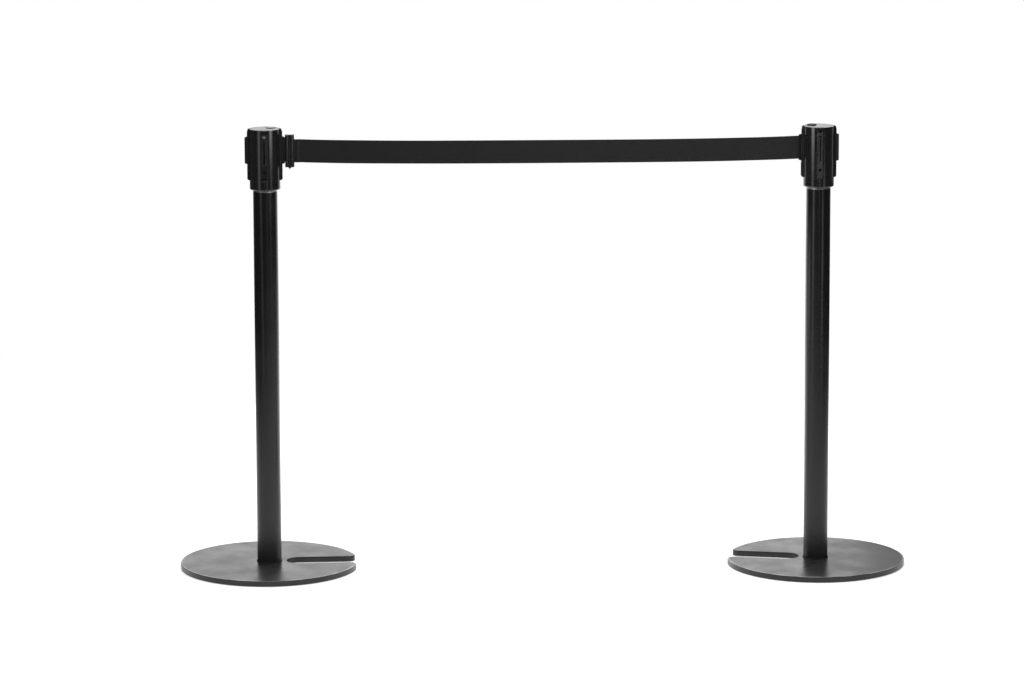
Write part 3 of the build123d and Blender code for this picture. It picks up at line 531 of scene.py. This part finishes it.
# Seen from above: seam, slit, a bend round the slit's inner edge, then a straight to the roll
def stretchPath():
    rollRadius = (rollHigh[0] - rollLow[0]) / 2 + beltLook["thickness"] / 2 + beltLook["rollGap"]
    bendX = feedX - bodyRadius + beltLook["headWall"]
    lean = math.asin(rollRadius / (feedX - bendX))
    touch = Vector((feedX - rollRadius * math.sin(lean), rollRadius * math.cos(lean)))
    radius = beltLook["bendRadius"]
    cut = radius * math.tan(lean / 2)
    centre = Vector((bendX - cut, radius))
    path = [Vector((seamX, 0.0))]
    path += straight(path[-1], Vector((exitX, 0.0)))
    path += straight(path[-1], Vector((bendX - cut, 0.0)))
    path += arcPoints(centre, radius, -math.pi / 2, lean - math.pi / 2, beltLook["bendSteps"])
    path += straight(path[-1], touch)
    return path


# Seen from above: the free end on the front, back round the pin, then out to the seam
def endPath():
    layer = beltLook["thickness"] / 2 + beltLook["layerGap"]
    loop = (pinHigh[0] - pinLow[0]) / 2 + beltLook["pinGap"] + beltLook["thickness"] / 2
    neckX = pinX + loop * math.cos(math.asin(layer / loop)) + beltLook["loopNeck"]
    halfOpen = math.radians(beltLook["loopOpen"])
    path = [Vector((sewnX, -layer))]
    path += straight(path[-1], Vector((neckX, -layer)))
    path += arcPoints(Vector((pinX, 0.0)), loop, -halfOpen, halfOpen - 2 * math.pi, beltLook["loopSteps"])
    path += straight(path[-1], Vector((neckX, layer)))
    path += straight(path[-1], Vector((sewnX, layer)))
    path += straight(path[-1], Vector((sewnX + beltLook["joinLength"], 0.0)))
    path += straight(path[-1], Vector((seamX, 0.0)))
    return path


def pathLength(path):
    return sum((b - a).length for a, b in zip(path, path[1:]))


# A band of the belt's width along a path, with its own map in metres, where 0 is the seam
def beltBand(name, path, start):
    deselectAll()
    bpy.ops.mesh.primitive_grid_add(x_subdivisions=len(path) - 1, y_subdivisions=beltLook["rows"], size=2)
    piece = bpy.context.object
    piece.name = name
    piece.data.name = name
    run = [start]
    for a, b in zip(path, path[1:]):
        run.append(run[-1] + (b - a).length)
    clothMap = piece.data.uv_layers[0]
    clothMap.name = "beltMap"
    flat = {}
    for vertex in piece.data.vertices:  # the grid goes from -1 to 1 both ways
        station = round((vertex.co.x + 1) / 2 * (len(path) - 1))
        across = vertex.co.y / 2
        x, y = path[station]
        flat[vertex.index] = (run[station], across * beltWidth)
        vertex.co = (x, y + rippleY(x, across), hangZ(x) + across * beltWidth)
    for corner in piece.data.loops:
        clothMap.data[corner.index].uv = flat[corner.vertex_index]
    wall = piece.modifiers.new("wall", "SOLIDIFY")
    wall.thickness = beltLook["thickness"]
    wall.offset = 0.0
    bpy.ops.object.modifier_apply(modifier=wall.name)
    bpy.ops.object.shade_smooth_by_angle(angle=math.radians(beltLook["smooth"]))
    piece.data.materials.append(finishes["belt_fabric"])
    return piece


stretchRoute = stretchPath()
stretch = beltBand("beltStretch", stretchRoute, 0.0)
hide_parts("belt_web")
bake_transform(stretch)

endRoute = endPath()
beltEnd = beltBand("beltEnd", endRoute, -pathLength(endRoute))
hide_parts("belt_tail")
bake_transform(beltEnd)
print("belt made:", round(pathLength(stretchRoute), 4), round(pathLength(endRoute), 4))

# Thread that sews the doubled belt end: upright rows on both faces
stitchLook = {
    "length": 0.0026,
    "thread": 0.00052,
    "pitch": 0.0034,
    "rows": (0.0078, 0.0096),
    "sink": 0.0001,
    "sides": 8,
    "middle": 0.6,
    "ends": ((0.12, 0.8), (0.08, 0.5)),  # length and shrink of each step towards a tip
    "endFacing": 0.9,
    "dark": (0.070, 0.070, 0.071),
    "light": (0.130, 0.130, 0.132),
    "rough": (0.45, 0.65),
    "twist": 0.0003,
    "twistStretch": (1.0, 1.0, 0.5),
    "twistRange": (0.3, 0.7),
    "depth": 0.00008,
}


def threadMaterial(look):
    material, tree, shader = startMaterial("sewingThread")
    twist = noiseNode(tree, objectCoords(tree), look["twist"], stretch=look["twistStretch"])
    colour = blendColours(tree, rising(tree, twist, *look["twistRange"]), look["dark"], look["light"])
    tree.links.new(colour, shader.inputs["Base Color"])
    tree.links.new(rangeNode(tree, twist, *look["twistRange"], *look["rough"]), shader.inputs["Roughness"])
    bumpTo(tree, shader, twist, look["depth"])
    return material


# One stitch: a short round thread whose ends are drawn in and sunk into the cloth
def oneStitch(look):
    deselectAll()
    bpy.ops.mesh.primitive_cylinder_add(
        vertices=look["sides"], radius=look["thread"] / 2, depth=look["length"] * look["middle"],
        end_fill_type="NGON", calc_uvs=False)
    piece = bpy.context.object
    bpy.ops.object.mode_set(mode="EDIT")
    bpy.ops.mesh.select_mode(type="FACE")
    for side in (-1, 1):
        bpy.ops.mesh.select_all(action="DESELECT")
        bpy.ops.object.mode_set(mode="OBJECT")
        for face in piece.data.polygons:
            face.select = face.normal.z * side > look["endFacing"]
        bpy.ops.object.mode_set(mode="EDIT")
        for reach, shrink in look["ends"]:
            bpy.ops.mesh.extrude_region_move(
                TRANSFORM_OT_translate={"value": (0, 0, side * reach * look["length"])})
            bpy.ops.transform.resize(value=(shrink, shrink, 1))
    bpy.ops.object.mode_set(mode="OBJECT")
    bpy.ops.object.shade_smooth()
    return piece


def sewStitches(look):
    first = oneStitch(look)
    face = beltLook["thickness"] + beltLook["layerGap"] - look["sink"]
    count = int((beltWidth - look["pitch"]) / look["pitch"])
    made = []
    for row in look["rows"]:
        for side in (-1, 1):
            for i in range(count):
                stitch = first.copy()
                stitch.data = first.data.copy()
                bpy.context.scene.collection.objects.link(stitch)
                rise = (i - (count - 1) / 2) * look["pitch"]
                stitch.location = (clipHigh[0] + row, side * face, clipZ + rise)
                made.append(stitch)
    bpy.data.objects.remove(first)
    deselectAll()
    for stitch in made:
        stitch.select_set(True)
    bpy.context.view_layer.objects.active = made[0]
    bpy.ops.object.join()
    bpy.ops.object.transform_apply(location=True, rotation=True, scale=True)
    piece = bpy.context.object
    piece.name = "beltStitches"
    piece.data.name = "beltStitches"
    piece.data.materials.append(threadMaterial(look))
    return piece


stitches = sewStitches(stitchLook)
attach(stitches, "belt_end")
print("stitches made:", len(stitches.data.polygons), "faces")


# Stage

# Rays that look for the background in a mirror or through glass
def mirrorRays(tree, seen):
    return mathNode(tree, "MAXIMUM", seen.outputs["Is Glossy Ray"], seen.outputs["Is Transmission Ray"])


# Pale paper floor: white near the poles, and only seen by the camera farther out
stageLook = {"radius": 4.2, "sides": 96, "colour": (0.84, 0.84, 0.84), "lift": 0.44,
             "paperEnd": 1.5, "fade": 1.2}


def floorMaterial(look):
    material = bpy.data.materials.new("paleFloor")
    material.use_nodes = True
    tree = material.node_tree
    tree.nodes.clear()
    output = addNode(tree, "ShaderNodeOutputMaterial")
    seen = addNode(tree, "ShaderNodeLightPath")
    direct = mathNode(tree, "MAXIMUM", seen.outputs["Is Camera Ray"], mirrorRays(tree, seen))
    reach = addNode(tree, "ShaderNodeVectorMath", operation="LENGTH")
    tree.links.new(objectCoords(tree), reach.inputs[0])
    far = rising(tree, reach.outputs["Value"], look["paperEnd"], look["paperEnd"] + look["fade"])
    matt = addNode(tree, "ShaderNodeBsdfDiffuse", {"Color": (*look["colour"], 1)})
    lift = addNode(tree, "ShaderNodeEmission")
    tree.links.new(mathNode(tree, "MULTIPLY", direct, look["lift"]), lift.inputs["Strength"])
    paper = addNode(tree, "ShaderNodeAddShader")
    tree.links.new(matt.outputs[0], paper.inputs[0])
    tree.links.new(lift.outputs[0], paper.inputs[1])
    white = addNode(tree, "ShaderNodeEmission")
    tree.links.new(seen.outputs["Is Camera Ray"], white.inputs["Strength"])
    both = addNode(tree, "ShaderNodeMixShader")
    tree.links.new(far, both.inputs["Fac"])
    tree.links.new(paper.outputs[0], both.inputs[1])
    tree.links.new(white.outputs[0], both.inputs[2])
    tree.links.new(both.outputs[0], output.inputs["Surface"])
    return material


deselectAll()
bpy.ops.mesh.primitive_circle_add(
    vertices=stageLook["sides"], radius=stageLook["radius"], fill_type="NGON", location=(0, 0, 0))
floor = bpy.context.object
floor.name = "paleFloor"
floor.data.materials.append(floorMaterial(stageLook))


# World: white to the camera and in mirrors that look to the back, dim in mirrors that look elsewhere
worldLook = {"light": 0.50, "back": 0.5, "sides": 0.08, "backEdge": (0.70, 0.95)}


def studioWorld(look):
    world = bpy.data.worlds.new("studio")
    bpy.context.scene.world = world
    world.use_nodes = True
    tree = world.node_tree
    tree.nodes.clear()
    output = addNode(tree, "ShaderNodeOutputWorld")
    sky = addNode(tree, "ShaderNodeBackground", {"Color": (1, 1, 1, 1)})
    seen = addNode(tree, "ShaderNodeLightPath")
    parts = splitCoords(tree, addNode(tree, "ShaderNodeTexCoord").outputs["Generated"])
    mirror = rangeNode(tree, parts["Y"], *look["backEdge"], look["sides"], look["back"])
    glossy = mirrorRays(tree, seen)
    soft = mathNode(tree, "SUBTRACT", 1.0, glossy)
    level = addShare(tree, mathNode(tree, "MULTIPLY", glossy, mirror), soft, look["light"])
    level = mathNode(tree, "MAXIMUM", level, seen.outputs["Is Camera Ray"])
    tree.links.new(level, sky.inputs["Strength"])
    tree.links.new(sky.outputs[0], output.inputs["Surface"])


studioWorld(worldLook)

# Soft boxes that each aim at one head, low ones for the right tube, a panel above and a white backdrop,
# and cards: between the poles, beside the right head, across to the right tube and low in front of each pole
lampLooks = {
    "leftBox": {
        "place": (-0.55, -1.004, 0.846), "aim": (0.565, 0, 0.984),
        "size": (0.66, 0.33), "power": 0.24, "spread": 45},
    "rightBox": {
        "place": (0.55, -1.004, 0.846), "aim": (-0.565, 0, 0.984),
        "size": (0.66, 0.33), "power": 0.23, "spread": 45},
    "leftFill": {
        "place": (-2.596, -2.208, 0.73), "aim": (-0.565, 0, 1.1),
        "size": (1.1, 0.8), "power": 0.14, "spread": 30},
    "lowLeft": {
        "place": (-1.70, -1.97, 0.15), "aim": (0.565, 0, 0.60),
        "size": (0.7, 0.3), "power": 0.10, "spread": 45},
    "lowRight": {
        "place": (2.45, -2.33, 0.15), "aim": (0.565, 0, 0.60),
        "size": (0.7, 0.3), "power": 0.060, "spread": 30},
    "topPanel": {
        "place": (0, 0.2, 3.4), "aim": (0, 0, 0),
        "size": (3.4, 2.0), "power": 75, "spread": 180},
    "backdrop": {
        "place": (-0.13, 1.7, 1.0), "aim": (-0.13, 0, 1.0),
        "size": (1.9, 2.0), "power": 11.6, "spread": 180},
    "middleCard": {
        "place": (0, 0.45, 0.48), "aim": (0, 0, 0.48),
        "size": (0.72, 0.92), "power": 1.7, "spread": 180},
    "sideCard": {
        "place": (1.0, 0.26, 0.84), "aim": (0.565, 0, 0.84),
        "size": (0.2, 0.22), "power": 0.055, "spread": 180},
    "tubeCard": {
        "place": (-0.25, 0.05, 0.455), "aim": (0.565, 0, 0.455),
        "size": (0.44, 0.19), "power": 0.040, "spread": 60},
    "leftCard": {
        "place": (-0.74, -5, 0.25), "aim": (-0.565, 0, 0.5),
        "size": (0.9, 0.42), "power": 0.45, "spread": 180},
    "rightCard": {
        "place": (1.0, -5, 0.25), "aim": (0.565, 0, 0.5),
        "size": (0.9, 0.42), "power": 1.9, "spread": 180},
}


def addLamp(name, look):
    lamp = bpy.data.lights.new(name, "AREA")
    lamp.shape = "RECTANGLE"
    lamp.size, lamp.size_y = look["size"]
    lamp.energy = look["power"]
    lamp.spread = math.radians(look["spread"])
    holder = bpy.data.objects.new(name, lamp)
    bpy.context.scene.collection.objects.link(holder)
    place = Vector(look["place"])
    aim = (Vector(look["aim"]) - place).to_track_quat("-Z", "Y")
    holder.matrix_world = Matrix.Translation(place) @ aim.to_matrix().to_4x4()


for name, look in lampLooks.items():
    addLamp(name, look)
print("stage and lamps set")


# Camera, with its turns in degrees
cameraLook = {
    "place": (-0.2432, -9.3435, 2.2167),
    "yaw": 1.111,
    "pitch": 9.700,
    "roll": -0.164,
    "lens": 162.75,
    "sensor": 36.0,
    "shiftY": -0.07,
    "farEnd": 100,
}


def addCamera(look):
    lens = bpy.data.cameras.new("photoCamera")
    lens.sensor_width = look["sensor"]
    lens.lens = look["lens"]
    lens.shift_y = look["shiftY"]
    lens.clip_end = look["farEnd"]
    holder = bpy.data.objects.new("photoCamera", lens)
    bpy.context.scene.collection.objects.link(holder)
    yaw, pitch, roll = (math.radians(look[key]) for key in ("yaw", "pitch", "roll"))
    ahead = Vector((math.sin(yaw) * math.cos(pitch), math.cos(yaw) * math.cos(pitch), -math.sin(pitch)))
    right = Vector((math.cos(yaw), -math.sin(yaw), 0))
    up = right.cross(ahead)
    turnedRight = math.cos(roll) * right + math.sin(roll) * up
    turnedUp = math.cos(roll) * up - math.sin(roll) * right
    turn = Matrix((turnedRight, turnedUp, -ahead)).transposed().to_4x4()
    holder.matrix_world = Matrix.Translation(Vector(look["place"])) @ turn
    bpy.context.scene.camera = holder


addCamera(cameraLook)
bpy.context.scene.view_settings.view_transform = "Standard"
print("camera set")
